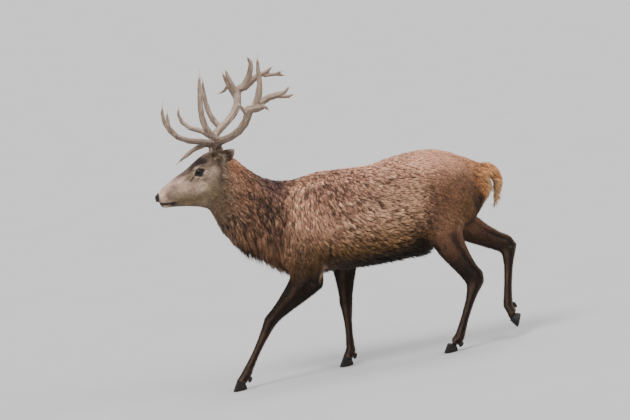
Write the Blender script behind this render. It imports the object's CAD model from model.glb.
"""Looks of the red deer stag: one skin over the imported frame, a coat of mesh tufts, antlers, eyes and hooves.

Everything is placed from the frame's own boxes. The head has its own axes, taken from the two eyes.
"""
import math
from collections import namedtuple
from functools import partial

import bmesh
import bpy
import numpy as np
from mathutils import Matrix, Vector
from mathutils.bvhtree import BVHTree
from mathutils.kdtree import KDTree
from numpy.linalg import norm


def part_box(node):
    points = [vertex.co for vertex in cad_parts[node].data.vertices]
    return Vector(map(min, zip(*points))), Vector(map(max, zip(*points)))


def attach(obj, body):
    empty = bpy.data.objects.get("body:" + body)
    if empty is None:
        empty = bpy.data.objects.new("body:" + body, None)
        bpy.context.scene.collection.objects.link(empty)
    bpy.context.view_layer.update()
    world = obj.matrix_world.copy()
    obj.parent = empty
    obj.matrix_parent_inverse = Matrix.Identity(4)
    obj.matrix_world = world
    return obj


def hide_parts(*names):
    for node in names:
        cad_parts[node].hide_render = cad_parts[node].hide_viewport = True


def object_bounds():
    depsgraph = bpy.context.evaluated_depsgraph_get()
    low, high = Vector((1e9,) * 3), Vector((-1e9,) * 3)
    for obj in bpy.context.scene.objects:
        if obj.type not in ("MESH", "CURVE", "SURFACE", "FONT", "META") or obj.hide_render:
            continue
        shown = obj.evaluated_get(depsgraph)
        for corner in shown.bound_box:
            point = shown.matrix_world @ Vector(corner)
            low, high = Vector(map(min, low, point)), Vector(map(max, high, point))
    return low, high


SEED = 7
SKIN_VOXEL = 0.003
SKIN_SWELL = 0.001  # closes the clearance between the frame's solids
SKIN_SHARE = 0.15  # of the fine mesh's faces that are kept
ANTLER_VOXEL = 0.0024
ANTLER_SWELL = 0.0006
ANTLER_ROUNDS = 26  # of smoothing that keeps the antler's thickness
PEARL_REACH = 0.26  # from the antler's foot
BURR = (0.0045, 0.020, 0.016)  # its height, its distance from the middle of the foot, and half its width
CLAW_VOXEL = 0.0016
CLAW_WAVES = 34  # of the rings from the sole to the top, in radians
PUPIL_SIZE = (0.52, 0.24)  # half its width and height, as shares of the eyeball's radius
BODY = "root"
UP = np.array((0.0, 0.0, 1.0))
SIDES = ("left", "right")
EYES = ("eye_left", "eye_right")

Region = namedtuple("Region", "nodes smoothing coarseness depth")


def legs(pair, part):
    return [f"{pair}leg_{side}_{part}" for side in SIDES]


# Each region's frame nodes, its rounds of smoothing, how coarse its skin is, and how deep its coat
REGIONS = {
    "head": Region(["head"], 14, 0.10, 0.0025),
    "neck": Region(["neck"], 200, 1.0, 0.020),
    "trunk": Region(["trunk"], 200, 1.0, 0.0125),
    "tail": Region(["tail"], 40, 1.0, 0.012),
    "ear": Region(["ear_left", "ear_right"], 2, 0.15, 0.0020),
    "foreleg": Region(legs("fore", "upper"), 90, 0.8, 0.0060),
    "thigh": Region(legs("hind", "upper"), 90, 0.8, 0.0055),
    "shank": Region(legs("fore", "lower") + legs("hind", "lower"), 30, 0.5, 0.0030),
}
FLESH = [name for region in REGIONS.values() for name in region.nodes]

# Relief of the face: the push outwards, the place (forward, aside, up) and the reach, from between the eyes
FACE_RELIEF = {
    "hollow before the eye": (-0.0060, (0.062, 0.060, -0.030), (0.045, 0.030, 0.028)),
    "temple": (-0.0050, (-0.062, 0.080, 0.020), (0.034, 0.030, 0.026)),
    "cheek bone": (0.0040, (-0.030, 0.080, -0.035), (0.060, 0.030, 0.016)),
    "hollow above the jaw": (-0.0035, (-0.010, 0.070, -0.085), (0.050, 0.040, 0.022)),
    "brow": (0.0030, (0.000, 0.070, 0.036), (0.034, 0.030, 0.012)),
}
GLAND = ((0.030, -0.014), (0.056, -0.034))  # the slit before the eye, forward and up
GLAND_MARK = ((0.026, -0.010), (0.060, -0.038))  # its dark colour runs a little past it
MOUTH_LINE = ((0.252, -0.124), (0.236, -0.134), (0.200, -0.141), (0.162, -0.142))  # forward and up
NOSTRIL = (0.247, 0.021, -0.098)  # forward, aside and up
MUZZLE = ((0.262, 0.0, -0.098), (0.040, 0.042, 0.034))  # the middle of the bare nose, and its reach
EYE_OPENING = (0.0185, 0.0128)  # half the width and half the height of the opening between the lids
LID = 0.0022
EYE_REFINING = (1.75, 1.55)  # the reach of each round of finer skin round an eye, in sizes of the eye
NOSE_PLACE = (0.235, -0.115)  # forward and up, the middle of the finer skin on the nose
NOSE_REACH = 0.060

# Relief of the body: the push outwards, the place (along, up) and the reach, in shares of the trunk's box
BODY_RELIEF = {
    "shoulder": (0.007, (0.14, 0.55), (0.10, 0.36)),
    "behind the shoulder": (-0.007, (0.28, 0.45), (0.06, 0.32)),
    "hip bone": (0.006, (0.70, 0.88), (0.055, 0.09)),
    "before the hip bone": (-0.008, (0.61, 0.80), (0.07, 0.15)),
    "fold of the flank": (-0.010, (0.72, 0.25), (0.050, 0.26)),
    "thigh": (0.006, (0.85, 0.58), (0.08, 0.24)),
    "behind the thigh": (-0.006, (0.935, 0.46), (0.030, 0.32)),
}
# Grooves before the tendons: their depth, how far round to the back of the leg, and half their width
TENDONS = {"shank": (0.0045, 0.30, 0.28), "thigh": (0.0090, 0.42, 0.30), "foreleg": (0.0050, 0.15, 0.30)}


# ------------ small helpers

def linear(red, green, blue):
    """A colour as a picture shows it, from 0 to 255, as the linear numbers that shaders use."""
    value = np.array((red, green, blue)) / 255
    return np.where(value <= 0.04045, value / 12.92, ((value + 0.055) / 1.055) ** 2.4)


def smooth(value, start, end):
    """0 before the start, 1 past the end and a soft slope between; the start may be the larger."""
    t = np.clip((value - start) / (end - start), 0, 1)
    return t * t * (3 - 2 * t)


def dome(distance):
    """1 at distance 0, falling softly to 0 at distance 1."""
    return (1 - np.clip(np.abs(distance), 0, 1) ** 2) ** 2


def ellipse(x, y, place, reach):
    """1 at a place, falling softly to 0 at its reach each way."""
    return dome(np.hypot((x - place[0]) / reach[0], (y - place[1]) / reach[1]))


def radius(places, middle, reach):
    """How far places lie from a middle, where 1 is the reach each way."""
    return np.sqrt(sum(((place - m) / r) ** 2 for place, m, r in zip(places, middle, reach)))


def segment_distance(x, y, start, end):
    """Distance from a stretch of straight line."""
    along = np.subtract(end, start)
    t = np.clip(((x - start[0]) * along[0] + (y - start[1]) * along[1]) / (along @ along), 0, 1)
    return np.hypot(x - start[0] - t * along[0], y - start[1] - t * along[1])


def unit(vectors):
    return vectors / np.maximum(norm(vectors, axis=-1, keepdims=True), 1e-9)


def tangent(vectors, normals):
    """The vectors laid into the surface, with their length made 1."""
    return unit(vectors - normals * (vectors * normals).sum(1, keepdims=True))


def mixed(weights, values):
    """The regions' values, mixed at each point by how much it belongs to each region."""
    return sum((np.asarray(value).T * weights[region]).T for region, value in values.items())


def painted(ground, *layers):
    """One named colour with others laid over it in turn, each by its weight at each point."""
    colour = np.zeros((len(layers[0][1]), 3)) + COLOURS[ground]
    for name, weight in layers:
        colour += (COLOURS[name] - colour) * np.clip(weight, 0, 1)[:, None]
    return colour


def box_middle(node):
    low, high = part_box(node)
    return np.array([low[i] + (high[i] - low[i]) * 0.5 for i in range(3)])


def add_object(name, mesh):
    made = bpy.data.objects.new(name, mesh)
    bpy.context.scene.collection.objects.link(made)
    return made


def baked(obj):
    """Turns the object's modifiers into plain mesh."""
    bpy.context.view_layer.update()
    shape = bpy.data.meshes.new_from_object(obj.evaluated_get(bpy.context.evaluated_depsgraph_get()))
    obj.modifiers.clear()
    obj.data = shape
    return obj


def fused(obj, voxel):
    """The object's solids as one closed mesh of even grain."""
    fuse = obj.modifiers.new("Fuse", "REMESH")
    fuse.mode = "VOXEL"
    fuse.voxel_size = voxel
    return baked(obj)


def add_smoothing(obj, rounds, group=""):
    even = obj.modifiers.new("Even", "SMOOTH")
    even.factor = 0.5
    even.iterations = rounds
    even.vertex_group = group


def mesh_from(name, points, faces):
    """A mesh from arrays of points and of triangles."""
    mesh = bpy.data.meshes.new(name)
    mesh.vertices.add(len(points))
    mesh.vertices.foreach_set("co", np.asarray(points, np.float32).ravel())
    mesh.loops.add(faces.size)
    mesh.loops.foreach_set("vertex_index", np.asarray(faces, np.int32).ravel())
    mesh.polygons.add(len(faces))
    mesh.polygons.foreach_set("loop_start", np.arange(0, faces.size, 3, dtype=np.int32))
    mesh.update(calc_edges=True)
    return mesh


def points_of(mesh):
    points = np.empty(len(mesh.vertices) * 3, np.float32)
    mesh.vertices.foreach_get("co", points)
    return points.reshape(-1, 3).astype(float)


def triangles_of(mesh):
    mesh.calc_loop_triangles()
    faces = np.empty(len(mesh.loop_triangles) * 3, np.int32)
    mesh.loop_triangles.foreach_get("vertices", faces)
    return faces.reshape(-1, 3)


def edges_of(faces):
    pairs = np.vstack((faces[:, [0, 1]], faces[:, [1, 2]], faces[:, [2, 0]]))
    return np.unique(np.sort(pairs, axis=1), axis=0)


def normals_of(points, faces):
    """Each point's normal, from the faces round it."""
    a, b, c = (points[faces[:, i]] for i in range(3))
    face_normals = np.cross(b - a, c - a)
    found = np.zeros_like(points)
    for axis in range(3):
        for corner in range(3):
            found[:, axis] += np.bincount(faces[:, corner], face_normals[:, axis], len(points))
    return unit(found)


def edge_sums(edges, count, from_ends, from_starts):
    """For each point a sum over its edges, of what comes from their ends and from their starts."""
    return np.bincount(edges[:, 0], from_ends, count) + np.bincount(edges[:, 1], from_starts, count)


def spread(values, edges, rounds, factor=0.5):
    """Each point's values drawn towards its neighbours' mean, so many times."""
    count = len(values)
    degree = np.maximum(np.bincount(edges.ravel(), minlength=count), 1)[:, None]
    flat = values.reshape(count, -1).copy()
    for _ in range(rounds):
        total = np.empty_like(flat)
        for column in range(flat.shape[1]):
            line = flat[:, column]
            total[:, column] = edge_sums(edges, count, line[edges[:, 1]], line[edges[:, 0]])
        flat += factor * (total / degree - flat)
    return flat.reshape(values.shape)


def random_tone(edges, count, rounds, rng):
    """Soft random light and dark over a mesh, with a spread of 1; more rounds make larger patches."""
    value = spread(rng.normal(0, 1, count), edges, rounds)
    return value / value.std()


def grain_axis(normals, edges, rounds):
    """The way a long form runs at each point: the direction in which the normals round it don't point."""
    outer = np.einsum("ni,nj->nij", normals, normals)
    return np.linalg.eigh(spread(outer, edges, rounds))[1][:, :, 0]


def add_tint(mesh, colours):
    values = np.ones((len(colours), 4), np.float32)
    values[:, :3] = colours
    mesh.attributes.new("tint", "FLOAT_COLOR", "POINT").data.foreach_set("color", values.ravel())


def joined(nodes, swell=0.0):
    """Copies of frame nodes as one mesh, each grown a little so that neighbours meet."""
    whole = bmesh.new()
    for name in nodes:
        one = bmesh.new()
        one.from_mesh(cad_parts[name].data)
        bmesh.ops.remove_doubles(one, verts=one.verts, dist=1e-5)
        one.normal_update()
        for vert in one.verts:
            vert.co += vert.normal * swell
        part = bpy.data.meshes.new(name)
        one.to_mesh(part)
        one.free()
        whole.from_mesh(part)
        bpy.data.meshes.remove(part)
    mesh = bpy.data.meshes.new("joined")
    whole.to_mesh(mesh)
    whole.free()
    return mesh


def edit_whole(obj):
    """Opens the object for editing, with all of its mesh selected."""
    bpy.ops.object.select_all(action="DESELECT")
    obj.select_set(True)
    bpy.context.view_layer.objects.active = obj
    bpy.ops.object.mode_set(mode="EDIT")
    bpy.ops.mesh.select_all(action="SELECT")


def largest_part(obj):
    """Drops all but the object's largest separate body, and gives that body the object's name."""
    name = obj.name
    edit_whole(obj)
    bpy.ops.mesh.separate(type="LOOSE")
    bpy.ops.object.mode_set(mode="OBJECT")
    parts = sorted(bpy.context.selected_objects, key=lambda part: len(part.data.vertices))
    for part in parts[:-1]:
        bpy.data.objects.remove(part, do_unlink=True)
    parts[-1].name = name
    return parts[-1]


def nearest_regions(points):
    """For each point the number of the region whose frame nodes are nearest."""
    corners, faces, owners, start = [], [], [], 0
    for number, region in enumerate(REGIONS.values()):
        for name in region.nodes:
            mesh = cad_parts[name].data
            corners.append(points_of(mesh))
            faces.append(triangles_of(mesh) + start)
            owners += [number] * len(faces[-1])
            start += len(corners[-1])
    tree = BVHTree.FromPolygons(np.vstack(corners).tolist(), np.vstack(faces).tolist())
    return np.array(owners)[[tree.find_nearest(point)[2] for point in points.tolist()]]


# ------------ landmarks

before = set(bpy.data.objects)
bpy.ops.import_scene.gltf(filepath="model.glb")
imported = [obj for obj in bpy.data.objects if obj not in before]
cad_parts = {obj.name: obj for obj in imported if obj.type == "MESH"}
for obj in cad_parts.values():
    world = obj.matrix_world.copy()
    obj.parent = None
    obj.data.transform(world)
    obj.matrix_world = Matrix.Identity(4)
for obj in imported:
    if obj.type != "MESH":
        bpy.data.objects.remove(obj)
CAD_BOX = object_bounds()
EYE_CENTRES = {name: box_middle(name) for name in EYES}
EYE_SIZE = (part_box("eye_left")[1].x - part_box("eye_left")[0].x) / 2
BETWEEN_EYES = (EYE_CENTRES["eye_left"] + EYE_CENTRES["eye_right"]) / 2
LEFTWARD = unit((EYE_CENTRES["eye_left"] - EYE_CENTRES["eye_right"])[None])[0]
FORWARD = np.cross(LEFTWARD, UP)


def head_places(points):
    """Places on the head, in metres from between the eyes: forward, to the stag's left, and up."""
    offset = points - BETWEEN_EYES
    return offset @ FORWARD, offset @ LEFTWARD, offset[:, 2]


def trunk_places(points):
    """Places along the trunk's box, 0 at the chest to 1 at the rump, and up it, 0 to 1."""
    low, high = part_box("trunk")
    return (points[:, 0] - low.x) / (high.x - low.x), (points[:, 2] - low.z) / (high.z - low.z)


def beam_foot(side):
    """The middle of the antler's foot, where it stands on the head."""
    beam = points_of(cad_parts[f"antler_{side}_beam"].data)
    inner = np.abs(beam[:, 1])
    return beam[(inner < inner.min() + 0.04) & (beam[:, 2] < beam[:, 2].min() + 0.03)].mean(0)


def pedicle_share(points):
    """1 at the foot of each antler, falling to 0 round it."""
    return np.max([dome(norm(points - beam_foot(side), axis=1) / 0.050) for side in SIDES], axis=0)


def coronet_share(points):
    """1 where the legs' skin meets the hooves, falling to 0 above."""
    shares = []
    for pair in ("fore_left", "fore_right", "hind_left", "hind_right"):
        boxes = [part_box(f"claw_{pair}_{side}") for side in ("inner", "outer")]
        middle = np.mean([np.array(corner) for box in boxes for corner in box], axis=0)
        top = boxes[0][1].z
        shares.append(dome(norm(points - (middle[0], middle[1], top), axis=1) / 0.060))
    return np.max(shares, axis=0)


def rump_patch_share(points):
    return ellipse(*trunk_places(points), (0.985, 0.64), (0.060, 0.28))


def sheath_share(points):
    return ellipse(*trunk_places(points), (0.645, 0.05), (0.06, 0.12))


def mouth_distance(forward, up):
    return np.min([segment_distance(forward, up, a, b) for a, b in zip(MOUTH_LINE, MOUTH_LINE[1:])], axis=0)


def muzzle_mask(points):
    """1 on the bare black pad of the nose."""
    forward, left, up = head_places(points)
    return smooth(radius((forward, np.abs(left), up), *MUZZLE), 1.05, 0.90)


def inside_ear(points, normals):
    """1 on the hollow side of the ears, which looks forward and out."""
    outward = normals[:, 1] * np.sign(points[:, 1])
    return smooth(-normals[:, 0] + 0.35 * outward, 0.05, 0.45)


def ear_reach(points):
    """How far out along the nearer ear a point is, from 0 at its root to 1 at its tip."""
    reach = np.zeros(len(points))
    for name, side in (("ear_left", -1), ("ear_right", 1)):
        low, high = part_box(name)
        share = (points[:, 1] - low.y) / (high.y - low.y)
        near = points[:, 1] * side > 0
        reach[near] = (share if side > 0 else 1 - share)[near]
    return reach


# ------------ skin: shape

def skin_base():
    """The flesh nodes fused to one smooth closed skin, finer on the head than on the body."""
    obj = add_object("skin", joined(FLESH + list(EYES), SKIN_SWELL))
    obj = largest_part(fused(obj, SKIN_VOXEL))
    owners = nearest_regions(points_of(obj.data))
    coarse = obj.vertex_groups.new(name="coarse")
    for number, (name, region) in enumerate(REGIONS.items()):
        members = (owners == number).nonzero()[0].tolist()
        obj.vertex_groups.new(name=name).add(members, 1.0, "REPLACE")
        coarse.add(members, region.coarseness, "REPLACE")
        add_smoothing(obj, region.smoothing, name)
    add_smoothing(obj, 4)
    thin = obj.modifiers.new("Thin", "DECIMATE")
    thin.ratio = SKIN_SHARE
    thin.vertex_group = "coarse"
    thin.use_collapse_triangulate = True
    return baked(obj)


def refine(obj, centre, reach):
    """Splits the edges near a point in two."""
    bm = bmesh.new()
    bm.from_mesh(obj.data)
    centre = Vector(centre)
    edges = [edge for edge in bm.edges if (edge.verts[0].co - centre).length < reach]
    bmesh.ops.subdivide_edges(bm, edges=edges, cuts=1, use_grid_fill=True)
    bmesh.ops.triangulate(bm, faces=[face for face in bm.faces if len(face.verts) > 3])
    bm.to_mesh(obj.data)
    bm.free()


def region_weights(points, edges):
    """How much each point belongs to each region, with soft borders."""
    sharp = np.eye(len(REGIONS))[nearest_regions(points)]
    soft = spread(sharp, edges, 14)
    return dict(zip(REGIONS, (soft / soft.sum(1, keepdims=True)).T))


def eye_axes(name):
    """Outward, forward and up axes of an eye, tipped as the lids are."""
    side = 1 if name == "eye_left" else -1
    outward = unit(LEFTWARD * side + FORWARD * 0.26 + UP * 0.08)
    forward = FORWARD - UP * 0.32
    forward = unit(forward - outward * (forward @ outward))
    up = np.cross(outward, forward)
    return outward, forward, up * np.sign(up[2])


def lid_measure(points, name):
    """0 at the middle of the eye's opening, 1 at the lids' edge and more outside."""
    outward, forward, up = eye_axes(name)
    ray = points - EYE_CENTRES[name]
    sideways = ray @ forward / EYE_OPENING[0]
    upward = ray @ up / EYE_OPENING[1]
    taper = np.maximum(1 - 0.42 * sideways**2, 0.55)
    measure = np.hypot(sideways, upward / taper)
    measure += 6 * np.clip(norm(ray, axis=1) / EYE_SIZE - 1.6, 0, None)
    measure[ray @ outward < 0] = 9
    return measure


def shape_lids(points):
    """Lays the lids over each eyeball, and opens them on it."""
    for name in EYES:
        measure = lid_measure(points, name)
        ray = points - EYE_CENTRES[name]
        distance = norm(ray, axis=1)
        way = ray / np.maximum(distance, 1e-9)[:, None]
        rim = LID + 0.0014 * dome((measure - 1.25) / 0.35) - 0.0010 * dome((measure - 1.8) / 0.3)
        over = np.where(measure < 3, np.maximum(distance, EYE_SIZE + rim), distance)
        opened = over + (EYE_SIZE - 0.004 - over) * (1 - smooth(measure, 0.88, 1.0))
        near = distance < EYE_SIZE * 2.0
        points[near] += way[near] * (opened - distance)[near, None]
    return points


def shape_face(points, normals, weights):
    """Folds and hollows of the head, pushed along the skin's normals."""
    forward, left, up = head_places(points)
    side = np.abs(left)
    push = np.zeros(len(points))
    for height, place, reach in FACE_RELIEF.values():
        push += height * dome(radius((forward, side, up), place, reach))
    slit = segment_distance(forward, up, *GLAND)
    push -= 0.0040 * dome(slit / 0.0042) * (side > 0.03)
    push += 0.0014 * dome((slit - 0.0062) / 0.003) * (side > 0.03)
    mouth = mouth_distance(forward, up)
    push -= 0.0045 * dome(mouth / 0.0038)
    push += 0.0016 * dome((mouth - 0.0075) / 0.005)
    slanted = up - (forward - NOSTRIL[0]) * 0.6
    nostril = radius((forward, side, slanted), NOSTRIL, (0.011, 0.010, 0.0065))
    push -= 0.0060 * dome(nostril / 1.1)
    push += 0.0020 * dome((nostril - 1.35) / 0.5)
    push -= 0.0022 * dome(left / 0.0022) * smooth(forward, 0.238, 0.250) * (up < -0.105)  # parting of the lip
    push += 0.010 * pedicle_share(points)
    return points + normals * (push * np.clip(weights["head"] * 1.6, 0, 1))[:, None]


def shape_body(points, normals, weights, turn):
    """Muscles and hollows of the body, and the grooves before the tendons of the legs."""
    along, height = trunk_places(points)
    relief = sum(push * ellipse(along, height, place, reach) for push, place, reach in BODY_RELIEF.values())
    flank = smooth(np.abs(normals[:, 1]), 0.35, 0.80) * weights["trunk"]
    grooves = {region: depth * dome((turn - place) / width)
               for region, (depth, place, width) in TENDONS.items()}
    return points + normals * (relief * flank - mixed(weights, grooves))[:, None]


def coat_depth(points, weights):
    """How deep the skin lies under the coat's tips."""
    along, height = trunk_places(points)
    nape = smooth(head_places(points)[0], -0.085, -0.150)
    depths = {name: region.depth for name, region in REGIONS.items()}
    depths["head"] = depths["head"] + 0.010 * nape
    depth = mixed(weights, depths)
    rump = smooth(along, 0.66, 0.80) * weights["trunk"]
    depth += 0.016 * smooth(points[:, 2], 1.05, 0.80) * weights["neck"]
    depth -= 0.0055 * rump
    depth += 0.010 * smooth(height, 0.22, 0.04) * weights["trunk"] * (1 - rump)
    depth *= 1 - muzzle_mask(points) * weights["head"]
    depth -= 0.0045 * coronet_share(points) * weights["shank"]
    for name in EYES:
        depth *= smooth(lid_measure(points, name), 1.2, 2.2)
    return depth


# ------------ skin: markings

COLOURS = {name: linear(*shown) for name, shown in {
    "shoulder": (230, 168, 137),
    "side": (204, 156, 126),
    "saddle": (224, 162, 134),
    "rump": (255, 186, 154),
    "spine": (118, 90, 82),
    "ribs": (134, 98, 56),
    "belly": (36, 28, 20),
    "haunch": (154, 107, 77),
    "ochre": (158, 114, 72),
    "patch": (255, 178, 118),
    "cream": (255, 218, 168),
    "fold": (214, 176, 150),
    "purple": (92, 68, 66),
    "border": (46, 28, 18),
    "tail": (255, 176, 116),
    "neck": (176, 128, 98),
    "rust": (232, 154, 108),
    "mane": (86, 63, 40),
    "chest": (54, 38, 22),
    "crest": (50, 34, 43),
    "leg": (40, 26, 16),
    "leg_light": (118, 90, 70),
    "heel": (196, 178, 160),
    "face": (139, 118, 98),
    "cheek": (212, 186, 160),
    "bridge": (214, 178, 160),
    "forehead": (60, 40, 36),
    "jaw": (124, 104, 74),
    "lip": (34, 26, 22),
    "chin": (196, 178, 150),
    "nose": (12, 11, 12),
    "lid": (24, 18, 15),
    "ear": (150, 122, 100),
    "ear_rim": (38, 28, 22),
    "ear_hair": (216, 196, 174),
    "antler": (126, 106, 90),
    "antler_ridge": (176, 154, 132),
    "antler_furrow": (72, 54, 42),
    "antler_below": (86, 68, 56),
    "antler_above": (182, 160, 138),
    "antler_foot": (56, 42, 34),
    "antler_tip": (206, 190, 166),
    "claw": (20, 17, 16),
    "claw_ring": (44, 38, 34),
    "claw_edge": (70, 60, 48),
    "eye": (40, 28, 22),
    "iris": (22, 14, 10),
    "pupil": (4, 4, 5),
}.items()}


def markings(points, normals, weights, rim, turn):
    """The coat's colour at each point of the skin."""
    x, y, z = points.T
    rise = normals[:, 2]
    crest = smooth(rise, -0.28, 0.20) * smooth(x, -0.50, -0.43) * smooth(x, -0.20, -0.30)
    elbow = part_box("foreleg_left_upper")[1]
    fold = segment_distance(x, z, (elbow.x + 0.015, elbow.z + 0.01), (elbow.x - 0.035, elbow.z - 0.08))
    fold = dome(fold / 0.010) * (y < 0)
    return mixed(weights, {
        "trunk": trunk_markings(points, rise, crest, fold),
        "neck": neck_markings(x, z, crest),
        "head": face_markings(points, rise),
        "ear": ear_markings(points, normals, rim),
        "tail": tail_markings(z, normals),
        "foreleg": foreleg_markings(z, turn, fold),
        "thigh": thigh_markings(y, z, normals, turn),
        "shank": shank_markings(points, turn),
    })


def neck_markings(x, z, crest):
    """Colours of the neck: rust on its side, a dark crest, and a dark mane below."""
    return painted(
        "neck",
        ("mane", smooth(z, 1.04, 0.80) * smooth(x, -0.20, -0.34)),
        ("chest", smooth(z, 0.86, 0.70)),
        ("rust", 0.9 * ellipse(x, z, (-0.50, 1.20), (0.090, 0.19))),
        ("crest", 0.92 * crest),
    )


def thigh_markings(y, z, normals, turn):
    """Colours of the upper hind legs, darker inside and before the tendon."""
    return painted(
        "leg",
        ("haunch", smooth(z, 0.44, 0.76)),
        ("belly", 0.8 * smooth(normals[:, 0], -0.35, -0.9)),
        ("leg", 0.65 * smooth(-normals[:, 1] * np.sign(y), 0.1, 0.7)),
        ("leg_light", 0.35 * dome((turn - 0.82) / 0.22)),
        ("leg", 0.75 * dome((turn - 0.42) / 0.26)),
    )


def foreleg_markings(z, turn, fold):
    """Colours of the upper forelegs, with the pale fold behind the near elbow."""
    return painted(
        "leg",
        ("ribs", 0.7 * smooth(z, 0.54, 0.66)),
        ("leg_light", 0.35 * dome((turn + 0.25) / 0.35)),
        ("fold", 0.9 * fold),
    )


def shank_markings(points, turn):
    """Colours of the lower legs: pale ridges before and behind, and a pale heel on the lifted foot."""
    low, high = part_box("dewclaw_hind_right_outer")
    heel = points - np.array((low + high) / 2) - (0.012, 0, 0)
    return painted(
        "leg",
        ("leg_light", 0.50 * dome((turn + 0.30) / 0.42) + 0.55 * dome((turn - 0.80) / 0.24)),
        ("heel", 0.9 * dome(norm(heel / 0.05, axis=1))),
    )


def tail_markings(z, normals):
    """Colours of the tail, paler low on the side that lies against the rump."""
    low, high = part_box("tail")
    inner = smooth(normals[:, 0], 0.0, -0.6)
    return painted("tail", ("cream", inner * smooth(z, high.z - 0.03, low.z + 0.05)))


def ear_markings(points, normals, rim):
    """Colours of the ears: pale hair inside, a dark band across it and a dark rim."""
    inner = inside_ear(points, normals)
    return painted(
        "ear",
        ("ear_hair", 0.85 * inner),
        ("ear_rim", 1.2 * inner * dome((ear_reach(points) - 0.42) / 0.34)),
        ("ear_rim", smooth(rim, 0.25, 0.55)),
    )


def trunk_markings(points, rise, crest, fold):
    """Colours of the trunk, from the light shoulder to the patch under the tail."""
    along, height = trunk_places(points)
    spot = partial(ellipse, along, height)
    return painted(
        "side",
        ("shoulder", spot((0.24, 0.68), (0.27, 0.42))),
        ("saddle", smooth(height, 0.70, 0.92) * smooth(along, 0.05, 0.35)),
        ("ribs", smooth(height, 0.46, 0.22)),
        ("haunch", smooth(along, 0.66, 0.78) * smooth(height, 0.86, 0.62)),
        ("rump", smooth(along, 0.60, 0.76) * smooth(height, 0.72, 0.90)),
        ("ochre", spot((0.90, 0.40), (0.13, 0.22))),
        ("border", 1.25 * spot((0.950, 0.40), (0.054, 0.25))),
        ("patch", 1.5 * spot((0.978, 0.66), (0.062, 0.22))),
        ("patch", 0.8 * spot((0.945, 0.84), (0.080, 0.17))),
        ("cream", 1.4 * spot((0.998, 0.58), (0.026, 0.24))),
        ("spine", 0.55 * smooth(rise, 0.93, 0.99) * smooth(along, 0.24, 0.08)),
        ("belly", smooth(height, 0.20, 0.07) * smooth(along, 0.86, 0.74)),
        ("belly", smooth(rise, -0.25, -0.75) * smooth(height, 0.5, 0.3)),
        ("belly", spot((0.66, 0.08), (0.11, 0.20))),
        ("neck", smooth(along, 0.18, -0.02)),
        ("mane", 0.8 * spot((0.14, 0.10), (0.16, 0.26))),
        ("border", 0.40 * spot((0.60, 0.82), (0.055, 0.14))),
        ("border", 0.45 * spot((0.72, 0.25), (0.040, 0.24))),
        ("crest", 0.92 * crest * smooth(rise, 0.40, 0.82)),
        ("fold", 0.8 * fold),
    )


def face_markings(points, rise):
    """Colours of the face."""
    forward, left, up = head_places(points)
    spot = partial(ellipse, forward, up)
    top = smooth(rise, 0.35, 0.75)
    layers = [
        ("bridge", spot((0.110, -0.070), (0.090, 0.040)) * 0.7),
        ("cheek", spot((-0.005, -0.080), (0.070, 0.050)) * 0.9),
        ("jaw", spot((-0.06, -0.14), (0.10, 0.10)) * 0.8),
        ("jaw", spot((0.08, -0.140), (0.13, 0.045)) * 0.95),
        ("cheek", 0.75 * spot((-0.065, -0.005), (0.055, 0.060))),
        ("bridge", 0.8 * smooth(rise, 0.10, 0.40) * smooth(forward, 0.04, 0.12)),
        ("bridge", 0.7 * spot((0.225, -0.105), (0.040, 0.030))),
        ("purple", 0.85 * top * dome((forward - 0.090) / 0.085)),
        ("forehead", top * dome((forward - 0.005) / 0.085)),
        ("forehead", 0.8 * spot((-0.095, 0.065), (0.022, 0.050))),
        ("rust", 0.5 * smooth(forward, -0.13, -0.19) * smooth(up, -0.08, 0.02)),
        ("neck", smooth(forward, -0.10, -0.18) * smooth(up, -0.02, -0.10)),
        ("chin", spot((0.215, -0.155), (0.040, 0.016))),
        ("lip", dome(mouth_distance(forward, up) / 0.011) * 1.2),
        ("lip", 1.4 * spot((0.172, -0.143), (0.026, 0.016))),
        ("lip", 0.85 * dome(segment_distance(forward, up, *GLAND_MARK) / 0.0075) * (np.abs(left) > 0.03)),
    ]
    for name in EYES:
        measure = lid_measure(points, name)
        layers += [("cheek", 0.75 * dome((measure - 2.7) / 0.9)), ("lid", smooth(measure, 2.0, 1.55))]
    return painted("face", *layers, ("nose", muzzle_mask(points)))


# ------------ coat: how it lies

def lie_of_coat(points, normals, weights, axis, edges):
    """The way the hair points at each place on the skin."""
    x, z = points[:, 0], points[:, 2]
    along, height = trunk_places(points)
    forward, _, up = head_places(points)

    def heading(angle):
        """A direction in the side view: 0 is towards the tail and -90 straight down."""
        turn = np.radians(angle + np.zeros(len(points)))
        return np.stack((np.cos(turn), turn * 0, np.sin(turn)), 1)

    trunk = -68 + 34 * smooth(along, 0.05, 0.50) - 22 * smooth(along, 0.62, 0.90)
    trunk += 30 * smooth(height, 0.80, 1.0)
    neck = -84 - 36 * smooth(x, -0.30, -0.52) * smooth(z, 1.20, 0.95) + 30 * smooth(z, 1.05, 1.25)
    nape = smooth(forward, -0.075, -0.140) * weights["head"]
    ways = {
        "trunk": heading(trunk),
        "neck": heading(neck),
        "tail": heading(-84),
        "face": -FORWARD + np.outer(smooth(up, 0.0, -0.10), -UP) * 0.35,
        "nape": heading(-74),
        "ear": unit(np.sign(points[:, 1:2]) * np.array((0.0, 1.0, 0.0)) + UP * 0.25),
        "leg": axis,
    }
    shares = dict(weights, face=weights["head"] - nape, nape=nape,
                  leg=weights["foreleg"] + weights["thigh"] + weights["shank"])
    return tangent(spread(mixed(shares, ways), edges, 12) + 1e-6, normals)


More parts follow.
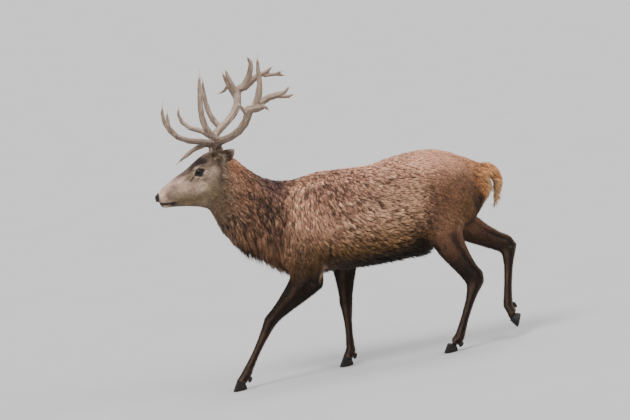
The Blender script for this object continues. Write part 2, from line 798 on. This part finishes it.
def hair_lengths(points, normals, weights):
    """Length of the coat, from root to tip."""
    z = points[:, 2]
    forward, _, up = head_places(points)
    along, height = trunk_places(points)
    trunk = 0.034 + 0.010 * dome((along - 0.12) / 0.2) - 0.010 * smooth(height, 0.8, 1.0)
    trunk -= 0.017 * smooth(along, 0.62, 0.78)
    trunk += 0.016 * smooth(height, 0.20, 0.05) * smooth(along, 0.75, 0.6)
    trunk += 0.030 * sheath_share(points)
    trunk += 0.026 * rump_patch_share(points)
    top = smooth(normals[:, 2], 0.35, 0.75)
    head = 0.0085 + 0.004 * ellipse(forward, up, (-0.06, -0.10), (0.08, 0.07))
    head += 0.018 * top * dome((forward + 0.01) / 0.08)
    head += 0.028 * smooth(forward, -0.085, -0.160)
    head += 0.010 * pedicle_share(points)
    return mixed(weights, {
        "trunk": trunk,
        "neck": 0.040 + 0.045 * smooth(z, 1.05, 0.78),
        "head": head,
        "ear": 0.009 + 0.012 * inside_ear(points, normals),
        "tail": 0.045,
        "foreleg": 0.018,
        "thigh": 0.014,
        "shank": 0.0085 + 0.012 * coronet_share(points),
    })


def coat_fields(points, skin, weights, depth, axis, turn, rng):
    """What the coat takes from each point of the skin, and how much of bare nose the point is.

    The points are those the skin's mesh was made from, before the mesh rounded them.
    """
    normals, edges = skin.soft_normals, skin.edges
    count = len(points)
    forward, _, up = head_places(points)
    along, height = trunk_places(points)
    rim = 1 - norm(spread(skin.normals, edges, 8), axis=1)
    nose = muzzle_mask(points) * weights["head"]
    lid = np.max([smooth(lid_measure(points, name), 1.6, 1.2) for name in EYES], axis=0)
    lips = dome(mouth_distance(forward, up) / 0.006) * weights["head"] * smooth(forward, 0.14, 0.17)
    bare = np.max([nose, lid, smooth(lips, 0.1, 0.6)], axis=0)
    body = weights["trunk"] + weights["neck"] + weights["tail"]
    low_neck = smooth(points[:, 2], 1.12, 0.90) * weights["neck"]
    flat = 0.5 * smooth(along, 0.62, 0.80)
    patch = rump_patch_share(points)
    fluff = 0.042 * patch * weights["trunk"] + 0.010 * sheath_share(points) * weights["trunk"]
    fields = {
        "weights": weights,
        "depth": np.maximum(depth, 0.0024 * coronet_share(points) * weights["shank"]),
        "colour": markings(points, normals, weights, rim, turn),
        "lie": lie_of_coat(points, normals, weights, axis, edges),
        "length": hair_lengths(points, normals, weights),
        "cover": smooth(bare, 0.6, 0.4),
        "root_shade": 0.85 - 0.47 * body * (1 - flat) - 0.16 * low_neck + 0.42 * patch
                      + 0.34 * weights["tail"],
        "tip_shade": 1.10 + 0.40 * body + 0.3 * inside_ear(points, normals) * weights["ear"],
        "contrast": 0.15 + body * (0.07 + 0.16 * smooth(along, 0.82, 0.62)) + 0.12 * low_neck
                    - 0.06 * weights["neck"],
        "loose": smooth(points[:, 2], 1.0, 0.75) * weights["neck"] + 0.4 * smooth(height, 0.2, 0.0),
        "fluff": fluff + 0.007 * weights["tail"],
        "patchy": random_tone(edges, count, 4, rng),
        "swirl": random_tone(edges, count, 20, rng) * body,
    }
    broad = random_tone(edges, count, 110, rng) * (1 - nose) * (1 - lid)
    fields["colour"] *= np.clip(1 + 0.14 * broad, 0.6, 1.5)[:, None]
    return fields, nose


# ------------ coat: tufts

class Skin:
    """The finished skin's arrays: its points, faces, edges and normals."""

    def __init__(self, obj):
        self.points = points_of(obj.data)
        self.faces = triangles_of(obj.data)
        self.edges = edges_of(self.faces)
        self.normals = normals_of(self.points, self.faces)
        self.tree = BVHTree.FromPolygons(self.points.tolist(), self.faces.tolist())
        a, b, c = (self.points[self.faces[:, i]] for i in range(3))
        self.areas = norm(np.cross(b - a, c - a), axis=1) / 2
        self.soft_normals = unit(spread(self.normals, self.edges, 3))

    def lay(self, points, heights):
        """The points moved to so high above the skin, over its nearest place, and the normals there."""
        found = [self.tree.find_nearest(point) for point in points.tolist()]
        place = np.array([hit[0] for hit in found])
        faces = self.faces[[hit[2] for hit in found]]
        normals = unit(self.soft_normals[faces].mean(1))
        return place + normals * heights[:, None], normals


def sow(skin, density, rng):
    """Roots strewn over the skin, so many to the square metre: their faces and weights of corners."""
    wanted = skin.areas * density[skin.faces].mean(1)
    counts = np.floor(wanted + rng.random(len(wanted))).astype(int)
    faces = np.repeat(np.arange(len(counts)), counts)
    first, second = rng.random((2, len(faces)))
    fold = first + second > 1
    first[fold], second[fold] = 1 - first[fold], 1 - second[fold]
    return faces, np.stack((1 - first - second, first, second), 1)


def at_roots(skin, values, faces, corners):
    """The skin's values at the roots."""
    picked = values[skin.faces[faces]]
    return (picked * corners.reshape(corners.shape + (1,) * (picked.ndim - 2))).sum(1)


def clumps(roots, share, rng):
    """A share of the roots chosen as leaders, and for each root the number of its nearest leader."""
    chosen = np.nonzero(rng.random(len(roots)) < share)[0]
    tree = KDTree(len(chosen))
    for number, point in enumerate(roots[chosen].tolist()):
        tree.insert(point, number)
    tree.balance()
    return chosen, np.array([tree.find(point)[1] for point in roots.tolist()])


def tuft_mesh(name, rings, tips, colours, patches):
    """Tufts as a mesh: each has rings of three points and a tip, and a cap closes its root."""
    count = len(tips)
    levels = len(rings)
    stride = levels * 3 + 1
    points = np.concatenate(rings + [tips[:, None]], axis=1)
    one = [(0, 2, 1)]
    for level in range(levels - 1):
        for i in range(3):
            a, b = level * 3 + i, level * 3 + (i + 1) % 3
            one += [(a, b, b + 3), (a, b + 3, a + 3)]
    last = (levels - 1) * 3
    one += [(last + i, last + (i + 1) % 3, levels * 3) for i in range(3)]
    one = np.array(one)
    faces = (one[None] + (np.arange(count) * stride)[:, None, None]).reshape(-1, 3)
    mesh = mesh_from(name, points.reshape(-1, 3), faces)
    add_tint(mesh, colours.reshape(-1, 3))
    steps = [level / levels for level in range(levels) for _ in range(3)] + [1.0]
    sideways = [0.0, 1.0, 0.5] * levels + [0.5]
    spot = np.stack((sideways, steps), 1) - 0.5
    uv = patches[:, None] + spot[None] * UV_PATCH
    layer = mesh.uv_layers.new(name="OFBake")
    layer.uv.foreach_set("vector", uv[:, one].astype(np.float32).ravel())
    return mesh


def comb(vectors, normals, angles):
    """Turns directions within the surface by angles."""
    return vectors * np.cos(angles)[:, None] + np.cross(normals, vectors) * np.sin(angles)[:, None]


def laid_or_straight(skin, roots, normals, reach, rise):
    """Where the hair gets to along the skin, or straight on where the skin ends or turns away."""
    laid, found = skin.lay(roots + reach, rise)
    straight = roots + reach + normals * rise[:, None]
    moved = norm(laid - straight, axis=1) > 0.7 * norm(reach, axis=1)
    turned = (found * normals).sum(1) < 0.1
    free = (moved | turned)[:, None]
    return np.where(free, straight, laid), np.where(free, normals, found)


def gathered(points, leaders, way, length, pull):
    """The points drawn sideways towards their leaders, so that a lock keeps its length."""
    gap = leaders - points
    aside = gap - way * (gap * way).sum(1, keepdims=True) * 0.8
    near = norm(gap, axis=1, keepdims=True) < length[:, None] * 1.2
    return np.where(near, points + aside * pull, points)


def tuft_shades(take, tone, levels):
    """Colours of each tuft's points, from its darker root to its brighter tip."""
    base = take("colour") * np.clip(1 + take("contrast") * tone, *TONE_LIMITS)[:, None]
    root_shade = take("root_shade")[:, None]
    shades = [base * root_shade] * 3
    if levels == 2:
        shades += [base * 0.5 * (1 + root_shade)] * 3
    shades.append(np.clip(base * take("tip_shade")[:, None], 0, BRIGHTEST))
    return np.stack(shades, 1)


# Tufts to the square metre, a tuft's length and width, its rings of points, how many tufts gather in a clump,
# how strongly they do, and the material slot
Style = namedtuple("Style", "density length width levels clump_size gather slot")
STYLES = {
    "coat_trunk": Style(39000, 0.034, 0.0018, 2, 7, 0.75, "coat"),
    "coat_rump": Style(44000, 0.017, 0.0014, 2, 5, 0.5, "coat"),
    "coat_neck": Style(46000, 0.040, 0.0017, 2, 8, 0.8, "coat"),
    "coat_tail": Style(60000, 0.045, 0.0015, 2, 6, 0.6, "tail_coat"),
    "coat_face": Style(260000, 0.008, 0.0009, 1, 6, 0.3, "face_coat"),
    "coat_ears": Style(240000, 0.012, 0.0009, 1, 6, 0.3, "face_coat"),
    "coat_thighs": Style(95000, 0.014, 0.0013, 1, 6, 0.3, "leg_coat"),
    "coat_shanks": Style(140000, 0.008, 0.0010, 1, 6, 0.3, "leg_coat"),
}
PIECE_LIMIT = 190000  # triangles
UV_PATCH = 0.003  # the size of a tuft's patch on the OFBake map
TONE_LIMITS = (0.22, 2.1)  # of the random light and dark, as shares of the coat's colour
BRIGHTEST = 0.9
STRAY = 0.13  # how far single hairs turn from the coat's lie, in radians
ROOT_SINK = 0.0008  # how deep the roots sit in the skin
RUMP_START = 0.72  # along the trunk
LONG_HAIR = 0.019  # the length from which the head's hair belongs to the neck's coat


def grow(skin, fields, name, mask, style, rng):
    """Tufts over the part of the skin where the mask is set, as one or more meshes."""
    crowd = np.clip(style.length / fields["length"], 0.8, 2.2)
    faces, corners = sow(skin, style.density * crowd * mask * fields["cover"], rng)

    def take(field):
        return at_roots(skin, fields[field], faces, corners)

    count = len(faces)
    roots = at_roots(skin, skin.points, faces, corners)
    normals = unit(at_roots(skin, skin.soft_normals, faces, corners))
    length = take("length") * rng.uniform(0.75, 1.2, count)
    lie = comb(tangent(take("lie"), normals), normals, rng.normal(0, STRAY, count) + 0.30 * take("swirl"))
    chosen, clump_of = clumps(roots, 1 / style.clump_size, rng)
    leader = chosen[clump_of]
    rise = take("depth") * (rng.uniform(0.35, 0.95, count) + 0.12 * rng.normal(0, 1, len(chosen))[clump_of])
    rise += take("fluff") * rng.uniform(0.1, 1.0, count)
    reach = lie * length[:, None]
    mid, mid_normals = laid_or_straight(skin, roots, normals, reach * 0.5, rise * 0.85)
    tips, _ = laid_or_straight(skin, roots, normals, reach, rise)
    loose = take("loose") * rng.uniform(0.4, 1.3, count)
    tips += (normals * 0.30 - UP * 0.60) * (loose * length)[:, None]
    pull = (style.gather * rng.uniform(0.5, 1.0, count))[:, None]
    way = unit(tips - roots)
    tips = gathered(tips, tips[leader], way, length, pull)
    mid = gathered(mid, mid[leader], way, length, pull * 0.45)
    half = style.width * rng.uniform(0.65, 1.35, count) * np.clip(length / style.length, 0.35, 1.3) ** 0.8

    def section(centre, normal, along, scale):
        across = np.cross(normal, tangent(along, normal)) * (half * scale)[:, None]
        ridge = centre + normal * (half * scale * 0.7)[:, None]
        return np.stack((centre - across, centre + across, ridge), 1)

    rings = [section(roots - normals * ROOT_SINK, normals, reach, 0.75)]
    if style.levels == 2:
        rings.append(section(mid, mid_normals, tips - roots, 1.0))
    tone = 1.2 * rng.normal(0, 1, len(chosen))[clump_of] + 0.9 * take("patchy")
    tone += 0.5 * rng.normal(0, 1, count)
    shades = tuft_shades(take, tone, style.levels)
    patches = (fields["uv"][faces] * corners[:, :, None]).sum(1)
    pieces = math.ceil(count * (6 * style.levels - 2) / PIECE_LIMIT)
    made = []
    for number, pick in enumerate(np.array_split(np.argsort(roots[:, 0], kind="stable"), pieces)):
        title = name if pieces == 1 else f"{name}_{number + 1}"
        made.append(tuft_mesh(title, [ring[pick] for ring in rings], tips[pick], shades[pick], patches[pick]))
    return made


# ------------ materials

def material(name, roughness, specular=0.4):
    made = bpy.data.materials.new(name)
    made.use_nodes = True
    shader = made.node_tree.nodes["Principled BSDF"]
    shader.inputs["Roughness"].default_value = roughness
    shader.inputs["Specular IOR Level"].default_value = specular
    return made, made.node_tree, shader


def attribute_node(tree, name):
    made = tree.nodes.new("ShaderNodeAttribute")
    made.attribute_name = name
    return made


def add_node(tree, kind, linked, **values):
    """The outputs of a new shader node, with some of its inputs linked and others set."""
    made = tree.nodes.new("ShaderNode" + kind)
    for label, source in linked.items():
        tree.links.new(source, made.inputs[label])
    for label, value in values.items():
        made.inputs[label.replace("_", " ")].default_value = value
    return made.outputs


def noise_in_metres(tree, scale, detail=3.0):
    """Noise in the object's own space, so fine each way."""
    place = tree.nodes.new("ShaderNodeTexCoord").outputs["Object"]
    mapped = add_node(tree, "Mapping", {"Vector": place}, Scale=scale)["Vector"]
    return add_node(tree, "TexNoise", {"Vector": mapped}, Scale=1.0, Detail=detail)["Fac"]


def remapped(tree, value, low, high, start=0.0, end=1.0):
    """The value's stretch from start to end turned into numbers from low to high."""
    limits = {"From_Min": start, "From_Max": end, "To_Min": low, "To_Max": high}
    return add_node(tree, "MapRange", {"Value": value}, **limits)["Result"]


def tint_by_noise(tree, shader, noise, low, high):
    """Gives the shader the mesh's own tint, times a number from low to high that follows the noise."""
    scale = tree.nodes.new("ShaderNodeVectorMath")
    scale.operation = "SCALE"
    tree.links.new(attribute_node(tree, "tint").outputs["Color"], scale.inputs[0])
    tree.links.new(remapped(tree, noise, low, high, 0.3, 0.7), scale.inputs["Scale"])
    tree.links.new(scale.outputs["Vector"], shader.inputs["Base Color"])


def bump(tree, shader, height, strength, distance):
    made = add_node(tree, "Bump", {"Height": height}, Strength=strength, Distance=distance)
    tree.links.new(made["Normal"], shader.inputs["Normal"])


def skin_material():
    """Short fur as bump and fine streaks, and a damp gloss on the nose."""
    made, tree, shader = material("short_coat", 0.62)
    noise = noise_in_metres(tree, (520, 520, 130))
    tint_by_noise(tree, shader, noise, 0.62, 1.35)
    bump(tree, shader, noise, 0.55, 0.0016)
    roughness = remapped(tree, attribute_node(tree, "gloss").outputs["Fac"], 0.62, 0.30)
    tree.links.new(roughness, shader.inputs["Roughness"])
    return made


def coat_material():
    made, tree, shader = material("coat", 0.55, 0.35)
    tint_by_noise(tree, shader, noise_in_metres(tree, (160, 160, 160), 2.0), 0.8, 1.2)
    return made


def horn_material(name, roughness, specular):
    made, tree, shader = material(name, roughness, specular)
    noise = noise_in_metres(tree, (420, 420, 420), 4.0)
    tint_by_noise(tree, shader, noise, 0.85, 1.12)
    bump(tree, shader, noise, 0.35, 0.0008)
    return made


def eye_material():
    made, tree, shader = material("eye", 0.09, 0.22)
    tree.links.new(attribute_node(tree, "tint").outputs["Color"], shader.inputs["Base Color"])
    return made


def floor_material():
    made, tree, shader = material("floor", 0.85, 0.2)
    level = remapped(tree, noise_in_metres(tree, (1.5, 1.5, 1.5)), 0.40, 0.43)
    grey = tree.nodes.new("ShaderNodeCombineColor")
    for channel in ("Red", "Green", "Blue"):
        tree.links.new(level, grey.inputs[channel])
    tree.links.new(grey.outputs["Color"], shader.inputs["Base Color"])
    return made


# ------------ antlers, claws, eyes

def finish_piece(obj, mesh, look, nodes):
    """Gives the object its mesh and material, and says what it stands for."""
    mesh.materials.append(look)
    mesh.polygons.foreach_set("use_smooth", np.ones(len(mesh.polygons), bool))
    obj.data = mesh
    obj.vertex_groups.clear()
    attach(obj, BODY)
    if nodes:
        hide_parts(*nodes)


def streaks(points, edges, axis, rng):
    """Random light and dark drawn out along the axis, with mean 0 and spread 1."""
    run = points[edges[:, 1]] - points[edges[:, 0]]
    first, second = axis[edges[:, 0]], axis[edges[:, 1]]
    way = unit(first + second * np.sign((first * second).sum(1))[:, None])
    straight = np.abs((unit(run) * way).sum(1)) ** 14 + 0.003
    count = len(points)
    total = edge_sums(edges, count, straight, straight)
    value = rng.normal(0, 1, count)
    for _ in range(36):
        drawn = edge_sums(edges, count, straight * value[edges[:, 1]], straight * value[edges[:, 0]])
        value = 0.3 * value + 0.7 * drawn / total
    return (value - value.mean()) / value.std()


def tip_share(points, faces, normals, edges):
    """1 at the slim ends of the tines, 0 where the antler is thick."""
    farthest = 0.06
    tree = BVHTree.FromPolygons(points.tolist(), faces.tolist())
    starts = points - normals * 0.0004
    hits = [tree.ray_cast(Vector(start), Vector(way), farthest)[3] for start, way in zip(starts, -normals)]
    thickness = np.array([farthest if hit is None else hit for hit in hits])
    return smooth(spread(thickness, edges, 10), 0.016, 0.008)


def build_antler(side, look, rng):
    """One antler: its frame pieces fused, furrowed along their length, darker in the furrows."""
    nodes = sorted(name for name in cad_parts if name.startswith(f"antler_{side}_"))
    obj = add_object(f"antler_{side}", joined(nodes, ANTLER_SWELL))
    obj = largest_part(fused(obj, ANTLER_VOXEL))
    add_smoothing(obj, 10)
    baked(obj)
    points, faces = points_of(obj.data), triangles_of(obj.data)
    edges = edges_of(faces)
    for _ in range(ANTLER_ROUNDS):
        points = spread(points, edges, 1, 0.50)
        points = spread(points, edges, 1, -0.52)
    normals = normals_of(points, faces)
    furrow = streaks(points, edges, grain_axis(normals, edges, 36), rng)
    pearl = random_tone(edges, len(points), 2, rng)
    from_foot = norm(points - beam_foot(side), axis=1)
    near_root = dome(from_foot / PEARL_REACH)
    tipness = tip_share(points, faces, normals, edges) * smooth(from_foot, 0.08, 0.16)
    push = furrow * 0.0006 * (1 - tipness) + np.clip(pearl, 0, 2.5) * 0.0006 * near_root
    push += BURR[0] * dome((from_foot - BURR[1]) / BURR[2]) * (1 + 0.4 * np.clip(pearl, -1, 2))
    points += normals * (push - 0.0008)[:, None]
    mesh = mesh_from(f"antler_{side}", points, faces)
    add_tint(mesh, painted(
        "antler",
        ("antler_ridge", smooth(furrow, 0.3, 2.2) * 0.75),
        ("antler_furrow", smooth(furrow, -0.2, -2.2) * 0.60),
        ("antler_below", smooth(normals[:, 2], 0.0, -0.9) * 0.45),
        ("antler_above", smooth(normals[:, 2], 0.3, 0.9) * 0.35),
        ("antler_foot", near_root * 0.7 * smooth(pearl, 1.2, -0.6)),
        ("antler_tip", smooth(tipness, 0.2, 0.9) * 0.8),
    ))
    finish_piece(obj, mesh, look, nodes)


def build_claw(name, look):
    """A hoof or a dewclaw: the frame's solid with rounded faces and rings of growth."""
    obj = fused(add_object(name + "_horn", joined([name])), CLAW_VOXEL)
    add_smoothing(obj, 6)
    baked(obj)
    points, faces = points_of(obj.data), triangles_of(obj.data)
    normals = normals_of(points, faces)
    low, high = points.min(0), points.max(0)
    height = (points[:, 2] - low[2]) / (high[2] - low[2])
    rings = np.sin(height * CLAW_WAVES + 3 * (points[:, 0] - low[0]) / (high[0] - low[0]))
    points += normals * (0.00012 * rings * smooth(height, 0.1, 0.3))[:, None]
    mesh = mesh_from(obj.name, points, faces)
    add_tint(mesh, painted(
        "claw",
        ("claw_ring", 0.25 * smooth(rings, 0.0, 1.0) * smooth(height, 0.1, 0.3)),
        ("claw_edge", smooth(height, 0.14, 0.02) * 0.5),
    ))
    finish_piece(obj, mesh, look, [name])


def build_eye(name, look):
    """A glossy ball with a dark brown iris and a level oblong pupil."""
    outward, forward, up = eye_axes(name)
    bm = bmesh.new()
    bmesh.ops.create_uvsphere(bm, u_segments=48, v_segments=40, radius=EYE_SIZE - 0.0002)
    ball = bpy.data.meshes.new(name + "_round")
    bm.to_mesh(ball)
    bm.free()
    points, faces = points_of(ball), triangles_of(ball)
    turned = points[:, :1] * forward + points[:, 1:2] * up + points[:, 2:] * outward
    wide = points[:, 0] / EYE_SIZE
    high = points[:, 1] / EYE_SIZE
    front = points[:, 2] > 0
    mesh = mesh_from(name + "_ball", turned + EYE_CENTRES[name], faces)
    add_tint(mesh, painted(
        "eye",
        ("iris", smooth(np.hypot(wide, high), 0.80, 0.72) * front),
        ("pupil", smooth(np.hypot(wide / PUPIL_SIZE[0], high / PUPIL_SIZE[1]), 1.05, 0.9) * front),
    ))
    finish_piece(add_object(name + "_ball", mesh), mesh, look, [name])


# ------------ build

def build_skin(look, rng):
    """The skin as an object, and what the coat takes from it."""
    obj = skin_base()
    for name in EYES:
        for reach in EYE_REFINING:
            refine(obj, EYE_CENTRES[name], EYE_SIZE * reach)
    refine(obj, BETWEEN_EYES + FORWARD * NOSE_PLACE[0] + UP * NOSE_PLACE[1], NOSE_REACH)
    points, faces = points_of(obj.data), triangles_of(obj.data)
    edges = edges_of(faces)
    normals = normals_of(points, faces)
    weights = region_weights(points, edges)
    depth = spread(coat_depth(points, weights), edges, 4)
    points -= normals * (depth + SKIN_SWELL)[:, None]
    normals = normals_of(points, faces)
    axis = grain_axis(normals, edges, 12)
    axis *= np.where(axis[:, 2:] > 0, -1, 1)
    turn = (normals * unit(np.cross(axis, (0.0, 1.0, 0.0)))).sum(1)  # -1 in front of a leg, 1 behind it
    points = shape_body(points, normals, weights, turn)
    points = shape_face(points, normals, weights)
    points = shape_lids(points)
    mesh = mesh_from("skin", points, faces)
    obj.data = mesh
    skin = Skin(obj)
    fields, nose = coat_fields(points, skin, weights, depth, axis, turn, rng)
    under_fur = 1 - 0.45 * smooth(fields["depth"], 0.004, 0.012)
    add_tint(mesh, fields["colour"] * under_fur[:, None])
    mesh.attributes.new("gloss", "FLOAT", "POINT").data.foreach_set("value", nose.astype(np.float32))
    fields["uv"] = unwrap(obj)
    finish_piece(obj, mesh, look, FLESH)
    return skin, fields


def unwrap(obj):
    """Unwraps the skin by its own shape, and returns the map as three corners for each face."""
    obj.data.uv_layers.new(name="OFBake")
    edit_whole(obj)
    bpy.ops.uv.smart_project(angle_limit=math.radians(66), island_margin=0.001)
    bpy.ops.object.mode_set(mode="OBJECT")
    uv = np.empty(len(obj.data.loops) * 2, np.float32)
    obj.data.uv_layers["OFBake"].uv.foreach_get("vector", uv)
    return uv.reshape(-1, 3, 2).astype(float)


def build_coat(skin, fields, look, rng):
    """The whole coat: each place on the skin belongs to the style of coat that grows there."""
    weights = fields["weights"]
    along = trunk_places(skin.points)[0]
    long = fields["length"] > LONG_HAIR
    parts = {
        "coat_trunk": weights["trunk"] * (along < RUMP_START),
        "coat_rump": weights["trunk"] * (along >= RUMP_START),
        "coat_neck": weights["neck"] + weights["head"] * long,
        "coat_tail": weights["tail"],
        "coat_face": weights["head"] * ~long,
        "coat_ears": weights["ear"],
        "coat_thighs": weights["thigh"] + weights["foreleg"],
        "coat_shanks": weights["shank"],
    }
    owner = np.argmax([parts[name] for name in STYLES], axis=0)
    for number, (name, style) in enumerate(STYLES.items()):
        for mesh in grow(skin, fields, name, owner == number, style, rng):
            finish_piece(add_object(mesh.name, mesh), mesh, look, [])


FLOOR_REACH = 400.0
SKY = (0.94, 0.94, 0.95, 1)
SKY_STRENGTH = 0.75
LAMPS = {  # where each soft lamp stands, its strength, and its width in degrees
    "key": ((-0.45, -0.75, 1.30), 2.8, 24),
    "top": ((0.25, 0.35, 1.60), 1.8, 40),
    "rear": ((0.85, -0.45, 0.70), 2.2, 40),
}


def build_studio():
    """A pale floor, a pale sky and soft lights from above."""
    mesh = bpy.data.meshes.new("floor")
    corners = [(x * FLOOR_REACH, y * FLOOR_REACH, 0) for x, y in ((-1, -1), (1, -1), (1, 1), (-1, 1))]
    mesh.from_pydata(corners, [], [(0, 1, 2, 3)])
    floor = add_object("floor", mesh)
    mesh.materials.append(floor_material())
    world = bpy.data.worlds.new("studio")
    world.use_nodes = True
    world.node_tree.nodes["Background"].inputs["Color"].default_value = SKY
    world.node_tree.nodes["Background"].inputs["Strength"].default_value = SKY_STRENGTH
    bpy.context.scene.world = world
    for name, (towards, strength, softness) in LAMPS.items():
        data = bpy.data.lights.new(name, "SUN")
        data.energy = strength
        data.angle = math.radians(softness)
        lamp = add_object(name, data)
        lamp.rotation_euler = Vector(towards).to_track_quat("Z", "Y").to_euler()


VIEW_DISTANCE = 20.0
VIEW_RISE = math.radians(6.0)
VIEW_ROLL = math.radians(10.2)
VIEW_SCALE = 3.5  # metres across the picture at the aim
AIM = (0.4437, 0.0071, 0.4934)  # a share of the box's length, metres from its middle line, a share of its top
FILM_WIDTH = 36.0  # millimetres


def build_camera():
    """The photo's view: from the stag's left, a little above, and rolled as the hillside is."""
    low, high = CAD_BOX
    aim = Vector((low.x + (high.x - low.x) * AIM[0], (low.y + high.y) / 2 + AIM[1], high.z * AIM[2]))
    back = Vector((0, -math.cos(VIEW_RISE), math.sin(VIEW_RISE)))
    up = Vector((0, math.sin(VIEW_RISE), math.cos(VIEW_RISE)))
    right = Vector((1, 0, 0))
    across = right * math.cos(VIEW_ROLL) - up * math.sin(VIEW_ROLL)
    rise = right * math.sin(VIEW_ROLL) + up * math.cos(VIEW_ROLL)
    data = bpy.data.cameras.new("camera")
    data.sensor_width = FILM_WIDTH
    data.lens = FILM_WIDTH * VIEW_DISTANCE / VIEW_SCALE
    data.clip_end = 1000.0
    camera = add_object("camera", data)
    turn = Matrix((across, rise, back)).transposed().to_4x4()
    camera.matrix_world = Matrix.Translation(aim + back * VIEW_DISTANCE) @ turn
    bpy.context.scene.camera = camera


def main():
    rng = np.random.default_rng(SEED)
    coat = coat_material()
    skin, fields = build_skin(skin_material(), rng)
    build_coat(skin, fields, coat, rng)
    horn = horn_material("antler", 0.5, 0.45)
    for side in SIDES:
        build_antler(side, horn, rng)
    claw = horn_material("claw", 0.55, 0.25)
    for name in sorted(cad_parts):
        if "claw" in name:
            build_claw(name, claw)
    wet = eye_material()
    for name in EYES:
        build_eye(name, wet)
    build_studio()
    build_camera()


main()
